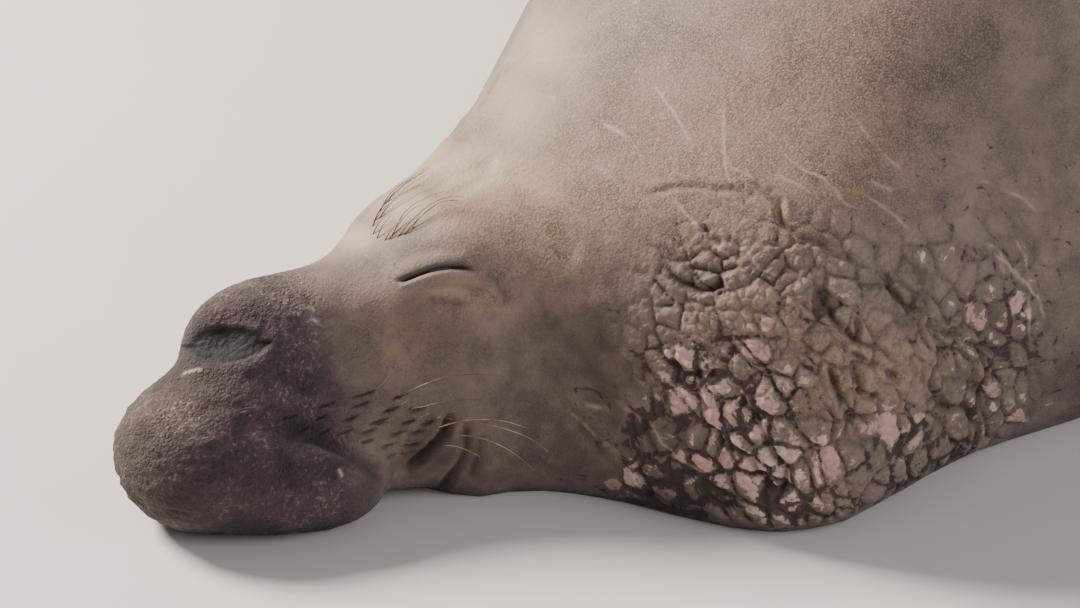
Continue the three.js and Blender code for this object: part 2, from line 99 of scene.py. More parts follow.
def seen_at(rows):
    """Where places are seen in the picture, in dots across and down."""
    gone = rows - np.array(camera_place)
    deep = -(gone @ np.array(camera_back))
    across = gone @ np.array(camera_right) / deep * dots_per_radian + picture_size[0] / 2
    down = -(gone @ np.array(camera_up)) / deep * dots_per_radian + picture_size[1] / 2
    return across, down


# The skin. One hide covers the whole animal, from the nose to the flippers, with no seams. It
# is grown over the solids, smoothed, and thinned out where the body is plain and even.
noise.seed_set(5)
voxel = 0.0055
rough_triangles = 108000
finished_triangles = 190000
head_turn = math.radians(15)
head_forward = Vector((-math.cos(head_turn), math.sin(head_turn), 0))
head_left = Vector((-math.sin(head_turn), -math.cos(head_turn), 0))
nose_hollow = (0.247, 0.064, 0.229)
flesh_nodes = [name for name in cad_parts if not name.startswith(("eye_", "claw_"))]


def shaped(name, shape):
    """A new piece made of a worked shape."""
    mesh = bpy.data.meshes.new(name)
    shape.to_mesh(mesh)
    shape.free()
    return placed(mesh)


def smooth_shaded(mesh):
    """Shades a mesh as one smooth surface."""
    mesh.polygons.foreach_set("use_smooth", [True] * len(mesh.polygons))


joined = bmesh.new()
for name in flesh_nodes:
    joined.from_mesh(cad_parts[name].data)
bmesh.ops.remove_doubles(joined, verts=joined.verts, dist=1e-5)
skin = shaped("skin", joined)


def apply_modifiers(piece):
    """Turns a piece's modifiers into its own mesh."""
    depsgraph = bpy.context.evaluated_depsgraph_get()
    made = bpy.data.meshes.new_from_object(piece.evaluated_get(depsgraph))
    piece.modifiers.clear()
    old = piece.data
    piece.data = made
    bpy.data.meshes.remove(old)


remesh = skin.modifiers.new("grow", "REMESH")
remesh.mode = "VOXEL"
remesh.voxel_size = voxel
apply_modifiers(skin)


def places(mesh):
    """The places of a mesh's points, as rows of three."""
    flat = np.empty(len(mesh.vertices) * 3)
    mesh.vertices.foreach_get("co", flat)
    return flat.reshape(-1, 3)


def move(mesh, rows):
    """Moves a mesh's points to new places."""
    mesh.vertices.foreach_set("co", rows.ravel())
    mesh.update()


def facings(mesh):
    """The way that a mesh faces at each of its points."""
    flat = np.empty(len(mesh.vertices) * 3, np.float32)
    mesh.vertices.foreach_get("normal", flat)
    return flat.reshape(-1, 3).astype(float)


def smoothstep(value, low, high):
    """Nought below low and one above high, with a soft rise between them."""
    t = np.clip((value - low) / (high - low), 0, 1)
    return t * t * (3 - 2 * t)


def neighbour_mean(mesh, rows, times, weight):
    """Evens out rows of values over the mesh, as much as weight says at each point."""
    ends = np.empty(len(mesh.edges) * 2, np.int32)
    mesh.edges.foreach_get("vertices", ends)
    a, b = ends[0::2], ends[1::2]
    count = np.bincount(ends, minlength=len(rows)).clip(1)[:, None]
    for _ in range(times):
        total = np.empty_like(rows)
        for k in range(rows.shape[1]):
            total[:, k] = np.bincount(a, rows[b, k], len(rows)) + np.bincount(
                b, rows[a, k], len(rows)
            )
        rows = rows + (total / count - rows) * weight[:, None]
    return rows


def head_rows(rows):
    """Places as forward, left and up from the middle of the head, in metres."""
    gone = rows - np.array(head_foot)
    return np.stack([gone @ np.array(head_forward), gone @ np.array(head_left), gone[:, 2]], 1)


def spine_at(x):
    """How far across the spine lies, x metres behind the middle of the head."""
    return head_foot.y - 0.09 * np.clip(x / 0.25, 0, 1)


def shield_mask(rows):
    """How far each place belongs to the thick cobbled skin of the chest and the neck."""
    x = rows[:, 0] - head_foot.x
    aside = rows[:, 1] - spine_at(x)
    highest = np.where(aside < 0, 0.44, 0.33)
    mask = smoothstep(np.abs(aside), 0.17, 0.27) * smoothstep(x, 0.06, 0.20)
    mask *= smoothstep(rows[:, 2], 0.004, 0.03) * (1 - smoothstep(x, 0.50, 0.70))
    return mask * (1 - smoothstep(rows[:, 2], highest - 0.12, highest))


def struck(rows, facing):
    """The shoulder above the shield, where old tooth scars run."""
    across, down = seen_at(rows)
    near = (across > 632) & (across < 1072) & (down > 72) & (down < 290)
    return near & (facing @ np.array(camera_back) > 0.1)


def thin_out(weights, strength, wanted):
    """Thins the skin to the wanted number of triangles, most where the weights are high."""
    group = skin.vertex_groups.new(name="thin")
    for step in range(11):
        chosen = np.nonzero(np.round(weights * 10) == step)[0]
        group.add([int(i) for i in chosen], step / 10, "REPLACE")
    thin = skin.modifiers.new("thin", "DECIMATE")
    thin.decimate_type = "COLLAPSE"
    thin.vertex_group = group.name
    thin.vertex_group_factor = strength
    thin.ratio = min(1.0, wanted / sum(len(face.vertices) - 2 for face in skin.data.polygons))
    apply_modifiers(skin)
    skin.vertex_groups.clear()


spots = places(skin.data)
on_lids = np.zeros(len(spots), bool)
for lid in ("upper_lid_left", "lower_lid_left", "upper_lid_right", "lower_lid_right"):
    low, high = (np.array(corner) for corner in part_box(lid))
    on_lids |= np.all((spots > low - 0.004) & (spots < high + 0.004), axis=1)
body_x = spots[:, 0] - head_foot.x
evenness = np.where(on_lids, 0.40, 0.6) * np.where(spots[:, 2] < 0.004, 0.0, 1.0)
spots = neighbour_mean(skin.data, spots, 26, evenness)
hollow = np.linalg.norm(head_rows(spots) - nose_hollow, axis=1)
spots = neighbour_mean(skin.data, spots, 40, 0.8 * (1 - smoothstep(hollow, 0.045, 0.075)))
move(skin.data, spots)
plain = smoothstep(body_x, 0.55, 0.95)
plain = np.maximum(plain, smoothstep(-spots[:, 2], -0.012, -0.004))
far_side = smoothstep(spots[:, 1] - head_foot.y, 0.02, 0.16) * smoothstep(body_x, 0.0, 0.15)
plain = np.maximum(plain, 0.985 * far_side)
plain = np.maximum(plain, 0.9 * smoothstep(body_x, 0.12, 0.2) * (spots[:, 2] > 0.46))
plain = np.where(struck(spots, facings(skin.data)), 0.0, plain)
limbs = (body_x > 1.25) & (spots[:, 2] < 0.16)
plain = np.where(limbs & (spots[:, 2] > 0.012), np.minimum(plain, 0.97), plain)
thin_out(plain, 1000, rough_triangles)


def finely(rows, facing):
    """Where the hide is worked closely: the face, both eyes and whisker pads, and the shield."""
    ahead, left, up = head_rows(rows).T
    seen = facing @ np.array(camera_back) > -0.15
    face = (ahead > -0.115) & (up > 0.01) & (seen | (np.abs(left) > 0.06))
    face &= (ahead > 0.04) | (np.abs(left) > 0.03)
    return face | ((shield_mask(rows) > 0.35) & seen) | struck(rows, facing)


def finest(rows, facing):
    """Where it is worked closest of all: the slits of the eyes and of the whisker pads."""
    ahead, left, up = head_rows(rows).T
    pads = (np.abs(ahead - 0.095) < 0.085) & (np.abs(left) > 0.085) & (np.abs(up - 0.125) < 0.065)
    eyes = (np.abs(ahead + 0.008) < 0.065) & (np.abs(left) > 0.075) & (np.abs(up - 0.285) < 0.05)
    return pads | eyes


for region in (finely, finest):
    finer = bmesh.new()
    finer.from_mesh(skin.data)
    chosen = region(places(skin.data), facings(skin.data))
    finer.verts.ensure_lookup_table()
    worked = [e for e in finer.edges if chosen[e.verts[0].index] and chosen[e.verts[1].index]]
    bmesh.ops.subdivide_edges(finer, edges=worked, cuts=1, use_grid_fill=True)
    bmesh.ops.triangulate(finer, faces=finer.faces)
    finer.to_mesh(skin.data)
    finer.free()
    worked = region(places(skin.data), facings(skin.data)) * 0.5
    move(skin.data, neighbour_mean(skin.data, places(skin.data), 3, worked))


# Working over the hide: lines laid on it where they are seen, each pressed in as a crease with
# painted shade along it, drawn up as a ridge, or laid on in colour as a stain, a painted shade or a
# painted highlight. The face's lines are laid on both of its sides.
skin_tree = BVHTree.FromObject(skin, bpy.context.evaluated_depsgraph_get())
spots = places(skin.data)
facing = facings(skin.data)
from_head = head_rows(spots)
body_x = spots[:, 0] - head_foot.x
rise = np.zeros(len(spots))
# The hide's layers, one value at each point: wear, dirt and the hide's own colours, painted shade in
# creases, slits and hollows, and painted highlights.
hide_layer_names = "crease scar pink black dust rough wet ochre umber pale cobble dome tone"
hide_layers = {name: np.zeros(len(spots)) for name in hide_layer_names.split()}


def more_of(name, shade, which=slice(None)):
    """Marks the hide with one of its layers, whether wear and dirt, painted shade or painted
    highlight, where it is not marked more already.
    """
    hide_layers[name][which] = np.maximum(hide_layers[name][which], shade)


def carry(mesh, name, values):
    """Lets a mesh carry one value at each of its points."""
    layer = mesh.attributes.new(name, "FLOAT", "POINT")
    layer.data.foreach_set("value", values.astype(np.float32))


def on_skin(dots):
    """Where the dots of the picture fall on the hide."""
    found = [skin_tree.ray_cast(camera_place, sight(dot))[0] for dot in dots]
    return [place for place in found if place is not None]


def opposite(place):
    """The same place on the other side of the head."""
    return place - head_left * (2 * (place - head_foot).dot(head_left))


def other_side(path):
    """The same line on the other side of the face."""
    return [skin_tree.find_nearest(opposite(place))[0] for place in path]


def other_flank(path):
    """The same line on the other flank of the neck."""
    mirrored = []
    for place in path:
        across = 2 * float(spine_at(place.x - head_foot.x)) - place.y
        mirrored.append(skin_tree.find_nearest(Vector((place.x, across, place.z)))[0])
    return mirrored


def beside(path, reach):
    """The points of the hide near a line: which, how far, how far along it, and how far above."""
    line = np.array([list(place) for place in path])
    low, high = line.min(0) - reach, line.max(0) + reach
    which = np.nonzero(np.all((spots > low) & (spots < high), axis=1))[0]
    near = spots[which]
    best = np.full(len(which), 1e9)
    along = np.zeros(len(which))
    above = np.zeros(len(which))
    lengths = np.linalg.norm(line[1:] - line[:-1], axis=1)
    gone = 0
    for a, b, length in zip(line[:-1], line[1:], lengths):
        if length < 1e-6:
            continue
        t = np.clip(((near - a) @ (b - a)) / length**2, 0, 1)
        nearest = a + t[:, None] * (b - a)
        distance = np.linalg.norm(near - nearest, axis=1)
        closer = distance < best
        best = np.where(closer, distance, best)
        along = np.where(closer, gone + t * length, along)
        above = np.where(closer, near[:, 2] - nearest[:, 2], above)
        gone += length
    keep = best < reach
    return which[keep], best[keep], (along / max(gone, 1e-6))[keep], above[keep]


def press(path, width, depth, lip=0.0, dark=1.0, taper=0.18):
    """Presses a fold into the hide, with a lip of skin on either side of it and painted shade along
    its bottom.
    """
    if len(path) < 2:
        return
    which, distance, along, _ = beside(path, width * 4)
    ends = smoothstep(along, 0, taper) * smoothstep(1 - along, 0, taper)
    rise[which] -= depth * ends * np.exp(-((distance / width) ** 2))
    rise[which] += lip * ends * np.exp(-(((distance - 1.9 * width) / width) ** 2))
    shade = dark * ends * np.exp(-((distance / (0.75 * width)) ** 2))
    more_of("crease", shade, which)


def fold(folds, lip, dark):
    """Presses folds into both sides of the face, each with its dots, width and depth."""
    for dots, width, depth in folds:
        for path in (on_skin(dots), other_side(on_skin(dots))):
            press(path, width, depth, lip=depth * lip, dark=dark)


def streak(path, width, strength, name="scar", lift=0.0, taper=0.2):
    """Draws a line of another colour on the hide."""
    if len(path) < 2:
        return
    which, distance, along, _ = beside(path, width * 3)
    ends = smoothstep(along, 0, taper) * smoothstep(1 - along, 0, taper)
    shade = strength * ends * np.exp(-((distance / width) ** 2))
    more_of(name, shade, which)
    rise[which] += lift * ends * np.exp(-((distance / width) ** 2))


def patch(dot, across, down, strength, name):
    """Marks an oval of the hide with one layer, its size in dots of the picture."""
    found = on_skin([dot])
    if not found:
        return
    gone = spots - np.array(found[0])
    right = gone @ np.array(camera_right) / dot_size
    fall = -(gone @ np.array(camera_up)) / dot_size
    far = (right / across) ** 2 + (fall / down) ** 2
    seen = facing @ np.array(camera_back) > -0.1
    shade = strength * np.exp(-far) * seen * (np.linalg.norm(gone, axis=1) < 0.6)
    more_of(name, shade)


# The eyes, shut. The upper lid lies over the lower in a long arched slit with a dark wet edge and
# painted shade under the upper lid, the rim of the lower lid stands out under it with a painted
# highlight, and fine folds run from both corners, with painted shade along them.
eye_slit = [(393, 282), (404, 279), (414, 275), (426, 270.5), (438, 267.5)]
eye_slit += [(450, 266), (462, 266.5), (471, 268), (481, 271)]
for path in (on_skin(eye_slit), other_side(on_skin(eye_slit))):
    which, distance, along, above = beside(path, 0.045)
    ends = smoothstep(along, 0, 0.16) * smoothstep(1 - along, 0, 0.22)
    rise[which] -= 0.0068 * ends * np.exp(-((distance / 0.0030) ** 2))
    rim = np.exp(-((distance - 0.0078) ** 2) / 0.0032**2) * (above < 0)
    hood = np.exp(-((distance - 0.014) ** 2) / 0.010**2) * (above > 0)
    rise[which] += ends * (0.0010 * rim + 0.0012 * hood)
    # The slit is painted dark: its wet edge, and painted shade under the overhanging upper lid and
    # its lashes. The rim of the lower lid is painted pale as a highlight.
    edge = np.exp(-((distance / 0.0030) ** 2))
    lash_and_shade = np.exp(-((distance / 0.0060) ** 2)) * (above > 0)
    more_of("wet", ends * np.maximum(edge, 0.7 * lash_and_shade), which)
    more_of("scar", 0.28 * ends * rim, which)
eye_folds = [
    ([(392, 262), (412, 252), (440, 247), (466, 251)], 0.008, 0.0012),
    ([(481, 271), (496, 279), (503, 292), (505, 308)], 0.005, 0.0030),
    ([(399, 281), (392, 280), (386, 275)], 0.0030, 0.0010),
    ([(420, 287), (446, 285), (470, 286), (492, 293)], 0.005, 0.0012),
    ([(424, 297), (450, 303), (476, 304)], 0.007, 0.0006),
    ([(486, 268), (496, 270), (507, 276)], 0.0035, 0.0016),
]
fold(eye_folds, lip=0.4, dark=0.4)

# The whisker pads: rows of short slits, each the pocket that one whisker grows from, with painted
# shade in it and the skin swollen between them.
whisker_slits = [
    (319, 406, 335, 402), (352, 406, 371, 401), (352, 396, 377, 390), (391, 399, 407, 393),
    (381, 412, 400, 407), (345, 419, 360, 415), (316, 419, 326, 415), (370, 424, 389, 418),
    (410, 411, 425, 407), (400, 424, 416, 420), (300, 429, 309, 426), (320, 431, 330, 429),
    (336, 434, 352, 429), (362, 432, 377, 429), (389, 436, 404, 432), (421, 425, 433, 421),
    (409, 434, 422, 431), (362, 441, 374, 439), (382, 446, 397, 444), (402, 446, 417, 445),
    (305, 439, 312, 437), (280, 415, 297, 416), (388, 456, 400, 455),
]
for left, low, right, high in whisker_slits:
    slit = [(left - 3, low + 2), ((left + right) / 2, (low + high) / 2 + 1), (right + 3, high - 2)]
    for path in (on_skin(slit), other_side(on_skin(slit))):
        press(path, 0.0016, 0.0042, dark=0.9, taper=0.35)
        swelling = [place - Vector((0, 0, 0.007)) for place in path]
        press(swelling, 0.0045, -0.0022, dark=0.0, taper=0.3)

# The mouth, shut. Only its corner shows, where the lips fold deeply in two curves behind the whisker
# pad, with a third, shallower fold of the cheek behind them, and painted shade lies along each fold.
mouth_folds = [
    ([(450, 410), (448, 422), (443, 436), (431, 448), (416, 461), (400, 477)], 0.006, 0.013),
    ([(468, 418), (466, 436), (467, 450), (459, 466), (448, 480), (436, 491)], 0.006, 0.007),
    ([(481, 430), (480, 448), (476, 464), (468, 482)], 0.009, 0.003),
]
fold(mouth_folds, lip=0.25, dark=1.0)

# The nose: a cushion that folds over the slumped tip in a shallow wet pit, painted dark as wet skin
# and as shade, and below it a valley along the top of the tip, with painted shade along it. Its bare
# skin is knobbly and wrinkled all over.
dot_across, dot_down = seen_at(spots)
under = dot_down - 343 + 0.06 * (dot_across - 224)
pit = np.hypot((dot_across - 225) / 48, under / 20)
crisp = np.where(under > 0, 0.16, 0.5)
pit = 1 - smoothstep(pit, 1 - crisp, 1.05)
pit *= (facing @ np.array(camera_back) > 0.0) * (from_head[:, 0] > 0.14) * (spots[:, 2] > 0.12)
rise -= 0.0045 * pit
# The pit is painted dark: wet skin, and painted shade under the overhanging cushion.
more_of("wet", smoothstep(pit, 0.1, 0.7))
rim = on_skin([(178, 370), (196, 371), (218, 370), (240, 368), (260, 364), (274, 356)])
press(rim, 0.007, -0.0018, dark=0.0, taper=0.2)
valley = [(300, 431), (318, 438), (338, 446), (358, 455), (374, 465), (388, 478), (397, 492)]
press(on_skin(valley), 0.010, 0.010, lip=0.003, dark=0.6)
press(on_skin([(230, 420), (256, 422), (284, 427), (310, 434)]), 0.016, 0.005, dark=0.2)
for dots, width, depth in (
    ([(352, 449), (374, 462), (392, 480), (398, 490)], 0.006, -0.003),
    ([(196, 412), (222, 405), (252, 404)], 0.008, 0.003),
    ([(215, 322), (240, 316), (262, 320), (274, 334)], 0.007, 0.0024),
    ([(236, 292), (262, 290), (288, 296)], 0.006, 0.0018),
    ([(292, 318), (305, 330), (310, 346)], 0.007, 0.0020),
    ([(300, 292), (316, 306), (330, 326)], 0.008, 0.0022),
    ([(268, 372), (292, 380), (308, 396)], 0.008, 0.0028),
    ([(150, 392), (168, 384), (190, 380)], 0.008, 0.0020),
    ([(300, 460), (322, 470), (340, 484)], 0.006, 0.0018),
    ([(250, 470), (280, 478), (300, 490)], 0.007, 0.0014),
):
    press(on_skin(dots), width, depth, dark=0.3)
# Short pale streaks on the nose: painted highlights along the lower rim of the pit and at the end of
# the tip, and small pale marks on the cushion.
for dots in (
    [(310, 305), (316, 311)],
    [(312, 318), (318, 322)],
    [(338, 468), (343, 478)],
    [(180, 374), (190, 371), (204, 370)],
    [(402, 486), (398, 492)],
):
    streak(on_skin(dots), 0.0022, 0.85, lift=0.0004)
nose_front = smoothstep(from_head[:, 0], 0.085, 0.17)
low_nose = smoothstep(from_head[:, 0], 0.16, 0.24) * (1 - smoothstep(spots[:, 2], 0.10, 0.24))
for k in np.nonzero(nose_front > 0.02)[0]:
    place = Vector(spots[k])
    knob = noise.noise(place * 60) * 0.0008 + noise.noise(place * 160) * 0.0008
    across = Vector((place.x * 30, place.y * 30, place.z * 120))
    knob += low_nose[k] * (noise.noise(across) * 0.0018 + noise.noise(across * 2.3) * 0.0010)
    rise[k] += nose_front[k] * knob

# The nape and the brow: broad soft folds where the loose skin of the neck bunches behind the skull,
# pressed shallowly so that they mostly catch the light, with faint painted shade along them.
nape_folds = [
    ([(512, 190), (536, 205), (556, 222), (571, 243), (576, 266)], 0.012, 0.003),
    ([(560, 330), (545, 320), (538, 300), (536, 288)], 0.010, 0.002),
    ([(590, 330), (612, 352), (630, 380), (640, 397), (657, 407)], 0.011, 0.003),
    ([(556, 400), (572, 418), (590, 440), (604, 462)], 0.008, 0.003),
    ([(420, 196), (444, 178), (470, 166), (500, 162)], 0.014, 0.002),
    ([(506, 345), (512, 372), (508, 398)], 0.010, 0.003),
]
fold(nape_folds, lip=0.6, dark=0.25)

# The chest shield: skin thickened by years of fights into cobbles, longer than wide and slanting
# down and back, with painted shade in the seams between them and old tooth scars across.
cobble_long, cobble_wide, cobble_deep = 0.044, 0.027, 0.034
slant_across, slant_down = 0.60, 0.80
small_cobble = 0.0135
cobble_height = 0.0105
around = spots[:, 1] - spine_at(body_x)
shield = shield_mask(spots)
hide_layers["cobble"] = shield.copy()
hide_layers["dome"][:] = 0.5
hide_layers["tone"][:] = 0.5
middle = np.hypot((dot_across - 800) / 250, (dot_down - 390) / 200)
bold = np.where(around < 0, 1 - 0.75 * smoothstep(middle, 0.65, 1.1), 0.8)
for k in np.nonzero(shield > 0.01)[0]:
    place = Vector(spots[k])
    warp = noise.noise_vector(place * 11) * 0.014 + noise.noise_vector(place * 34) * 0.004
    x, y, z = place + warp
    down_back = (x * slant_across - z * slant_down) / cobble_long
    up_back = (x * slant_down + z * slant_across) / cobble_wide
    far, near = noise.voronoi(Vector((down_back, up_back, y / cobble_deep)))
    seam = far[1] - far[0]
    small, _ = noise.voronoi((place + warp * 0.5) / small_cobble)
    fine = small[1] - small[0]
    dome = min(1, seam / 0.55) ** 0.55
    broken = min(1, max(0.15, 0.6 + 2.2 * noise.noise(place * 26)))
    strong = shield[k] * bold[k]
    rise[k] += strong * (cobble_height * (dome - 0.6) * broken**0.5 + 0.0026 * min(1, fine / 0.4))
    rise[k] += strong * 0.0060 * noise.noise(place * 15)
    # Painted shade along the seams between the cobbles and in their finer cracks.
    line = broken * max(0, 1 - seam / 0.10)
    line = max(line, (1.1 - broken) * 0.6 * max(0, 1 - fine / 0.18))
    hide_layers["crease"][k] = max(hide_layers["crease"][k], strong * line)
    hide_layers["dome"][k] = min(1, seam / 0.34)
    hide_layers["tone"][k] = noise.cell(near[0] * 7.3)


def wavering(path, reach):
    """The same line, drawn with more points and a slightly unsteady hand."""
    wavy = []
    for a, b in zip(path[:-1], path[1:]):
        for step in range(4):
            place = a.lerp(b, step / 4)
            wavy.append(place + noise.noise_vector(place * 55) * reach)
    return wavy + [path[-1]] if path else []


shield_folds = [
    [(643, 192), (670, 188), (707, 187), (730, 188), (747, 195), (760, 190)],
    [(750, 177), (767, 190), (780, 203), (783, 220), (793, 233), (817, 243), (833, 253), (860, 267)],
    [(877, 263), (888, 280), (893, 293), (913, 310), (930, 327), (953, 333), (977, 347), (997, 347)],
    [(700, 224), (712, 236), (722, 245)],
    [(667, 273), (683, 287), (703, 290), (727, 280)],
    [(817, 297), (830, 310), (840, 327), (857, 337), (860, 313)],
    [(667, 347), (677, 367), (703, 373), (717, 370)],
    [(930, 327), (940, 357), (933, 390), (943, 407), (957, 413)],
    [(643, 417), (650, 440), (660, 453)],
    [(633, 457), (637, 477), (650, 493), (677, 510)],
    [(693, 373), (698, 400), (707, 413)],
    [(717, 433), (723, 447), (750, 453)],
    [(740, 390), (747, 410), (760, 420), (767, 443), (787, 470), (787, 485), (773, 487)]
    + [(757, 470), (750, 450)],
    [(850, 347), (870, 363), (893, 373), (903, 387)],
    [(830, 363), (837, 393), (850, 420), (873, 423)],
    [(857, 373), (863, 393), (880, 400)],
    [(977, 347), (985, 372), (978, 400), (968, 430)],
    [(960, 400), (975, 425), (968, 455)],
]
# The shield's longer folds, each pressed in with painted shade along it.
for dots in shield_folds:
    for path in (on_skin(dots), other_flank(on_skin(dots))):
        share = 0.25 + 0.75 * float(shield_mask(np.array(path)).mean())
        path = wavering(path, 0.006)
        press(path, 0.0050, 0.0085 * share, lip=0.0026 * share, dark=share, taper=0.12)

tooth_scars = [
    [(650, 80), (673, 110), (695, 150)],
    [(723, 100), (725, 153), (730, 190)],
    [(777, 150), (800, 167), (827, 180), (843, 202), (867, 212)],
    [(777, 175), (793, 183), (817, 195)],
    [(855, 117), (873, 140), (888, 157), (907, 175)],
    [(858, 190), (877, 203), (897, 217), (910, 233)],
    [(870, 178), (893, 193)],
    [(723, 147), (733, 167), (760, 183), (777, 198)],
    [(667, 193), (693, 220), (710, 240), (733, 260), (747, 263)],
    [(707, 240), (747, 250), (760, 267), (787, 280)],
    [(560, 403), (580, 423), (603, 443), (630, 460)],
    [(583, 405), (613, 412)],
    [(610, 398), (627, 408), (643, 420)],
    [(663, 377), (683, 397)],
    [(650, 420), (663, 443), (683, 463), (720, 475)],
    [(983, 243), (1007, 263), (1023, 280), (1037, 297), (1048, 327)],
    [(1010, 230), (1027, 260), (1030, 293), (1030, 347)],
    [(973, 177), (1020, 197), (1040, 213)],
    [(600, 120), (620, 133), (632, 142)],
    [(592, 163), (612, 176), (626, 190)],
    [(975, 240), (1000, 250), (1016, 276), (1030, 290)],
    [(985, 390), (1010, 402), (1032, 425)],
]
for dots in tooth_scars:
    for path, strength in ((on_skin(dots), 0.66), (other_flank(on_skin(dots)), 0.45)):
        path = wavering(path, 0.0035)
        streak(path, 0.0018, strength, lift=0.0009)

# The wear, the dirt and painted light: ovals of the hide, seen at given dots, where it is worn pink,
# stained ochre or black, darkened with painted shade, or paled with painted highlight. Sand lies on
# what faces up, painted shade darkens the lower body and the slumped tip of the nose, and the limbs
# are dark.
spots_of_wear_and_light = {
    "pink": [
        (700, 395, 48, 40, 1.0), (740, 420, 44, 38, 1.0), (775, 465, 44, 34, 1.0),
        (690, 356, 34, 24, 1.0), (745, 350, 34, 20, 0.8), (822, 455, 32, 30, 0.8),
        (895, 428, 34, 24, 1.0), (845, 300, 26, 14, 0.45), (800, 385, 44, 30, 0.6),
        (628, 475, 26, 22, 0.85), (705, 470, 44, 26, 0.9), (770, 320, 40, 24, 0.5),
        (985, 395, 26, 18, 0.7), (1025, 300, 16, 50, 0.7), (975, 330, 50, 70, 0.42),
        (1000, 410, 60, 20, 0.6), (935, 255, 44, 14, 0.4), (780, 505, 50, 18, 0.8),
    ],
    "ochre": [
        (860, 370, 75, 54, 1.0), (780, 320, 80, 50, 0.7), (820, 480, 30, 40, 0.6),
        (740, 230, 90, 50, 0.5), (800, 160, 190, 80, 0.45), (470, 300, 50, 24, 0.7),
        (540, 240, 56, 60, 0.5), (400, 340, 46, 40, 0.4), (500, 190, 70, 40, 0.5),
    ],
    "black": [
        (690, 490, 74, 40, 0.95), (790, 505, 64, 30, 0.9), (1010, 330, 50, 70, 0.5),
        (930, 465, 80, 40, 0.8), (700, 370, 50, 34, 0.75), (650, 440, 40, 60, 0.7),
        (740, 420, 70, 60, 0.6),
    ],
    # Painted shade, partly over the hide's own darker brown: under the lip and the jaw, down the
    # neck, beneath the eye and over the shoulder.
    "umber": [
        (560, 470, 90, 44, 0.6), (420, 455, 44, 34, 0.9), (500, 420, 70, 50, 0.7),
        (610, 330, 50, 120, 0.8), (620, 200, 44, 90, 0.6), (478, 296, 34, 10, 0.7),
        (378, 262, 20, 20, 0.6), (345, 300, 40, 40, 0.25), (540, 350, 60, 40, 0.6),
        (880, 100, 160, 60, 0.5), (700, 240, 60, 60, 0.8), (770, 250, 50, 50, 0.6),
        (900, 300, 50, 60, 0.5), (1000, 330, 70, 140, 0.6),
    ],
    # Painted highlights on the forehead, the brow, the top of the back and under the eye.
    "pale": [
        (470, 172, 74, 34, 1.0), (410, 206, 44, 24, 0.9), (360, 238, 30, 16, 0.8),
        (520, 110, 40, 50, 0.7), (545, 50, 40, 50, 0.7), (445, 222, 50, 14, 0.5),
        (540, 190, 30, 22, 0.5), (450, 290, 22, 7, 0.6),
    ],
}
for name, ovals in spots_of_wear_and_light.items():
    for across, down, wide, high, strength in ovals:
        patch((across, down), wide, high, strength, name)
flank = smoothstep(shield, 0.2, 0.9) * (around > 0)
for name, strength in (("pink", 0.55), ("black", 0.6), ("ochre", 0.5)):
    more_of(name, strength * flank)
hide_layers["dust"] = smoothstep(facing[:, 2], 0.25, 0.85) * smoothstep(body_x, -0.15, 0.15)
hide_layers["dust"] *= 1 - 0.8 * shield
hide_layers["rough"] = nose_front
# Painted shade, darkening the hide towards the ground.
more_of("umber", 0.5 * (1 - smoothstep(spots[:, 2], 0.05, 0.30)))
# The flippers are darkened all over with the same layer.
flippers_from, hind_flippers_from = 1.25, 3.42
on_limb = (body_x > flippers_from) & (np.abs(spots[:, 1] - head_foot.y + head_aside) > 0.60)
on_limb |= body_x > hind_flippers_from
more_of("umber", 0.8 * on_limb)
# The slumped tip of the nose is darkened, partly as its own dark skin and partly as painted shade.
tip = smoothstep(from_head[:, 0], 0.15, 0.25) * (1 - smoothstep(spots[:, 2], 0.18, 0.25))
more_of("umber", 0.9 * tip)

# All of it goes into the hide, which ends as far under the solids' surface as the coat is deep
# and is thinned once more where nothing is drawn on it.
coat_depth = 0.0015
off_the_floor = 0.0005
spots = spots + facing * rise[:, None] - facing * coat_depth
spots[:, 2] = np.maximum(spots[:, 2], off_the_floor)
move(skin.data, spots)
for name, values in hide_layers.items():
    carry(skin.data, name, np.clip(values, 0, 1))
drawn = np.maximum.reduce([hide_layers["scar"] * 1.4, hide_layers["crease"], hide_layers["wet"]])
drawn = np.where(finest(spots, facing), np.maximum(drawn, 0.5), drawn)
drawn = np.where(facing @ np.array(camera_back) > -0.1, drawn, drawn * 0.3)
thin_out(1 - np.clip(drawn, 0, 1), 0.00001, finished_triangles)
smooth_shaded(skin.data)


# The hide's own surface, used on skin, coat, horn and whiskers alike: cloudy mottling, worn
# blotches, a fine speckle of sand, and the height of its pores and hair streaks.
def painted(piece, material):
    """Gives a piece its finish."""
    piece.data.materials.clear()
    piece.data.materials.append(material)


def finish_called(name, **settings):
    """A new finish, with its nodes and its shader, which is set as told."""
    material = bpy.data.materials.new(name)
    material.use_nodes = True
    shader = material.node_tree.nodes["Principled BSDF"]
    for key, value in settings.items():
        shader.inputs[key.replace("_", " ")].default_value = value
    return material, material.node_tree, shader


def put(tree, kind, inputs=(), **settings):
    """Adds a node, sets it, and feeds its inputs with numbers, colours or other nodes' outputs."""
    node = tree.nodes.new(kind)
    for key, value in settings.items():
        setattr(node, key, value)
    for key, value in dict(inputs).items():
        if isinstance(value, bpy.types.NodeSocket):
            tree.links.new(value, node.inputs[key])
        else:
            node.inputs[key].default_value = value
    return node


def blended(tree, share, first, second):
    """One colour over another, as much as the share says."""
    mix = put(tree, "ShaderNodeMix", data_type="RGBA", clamp_factor=True)
    for key, value in ((0, share), (6, first), (7, second)):
        if isinstance(value, bpy.types.NodeSocket):
            tree.links.new(value, mix.inputs[key])
        elif key == 0:
            mix.inputs[0].default_value = value
        else:
            mix.inputs[key].default_value = (*value, 1)
    return mix.outputs[2]


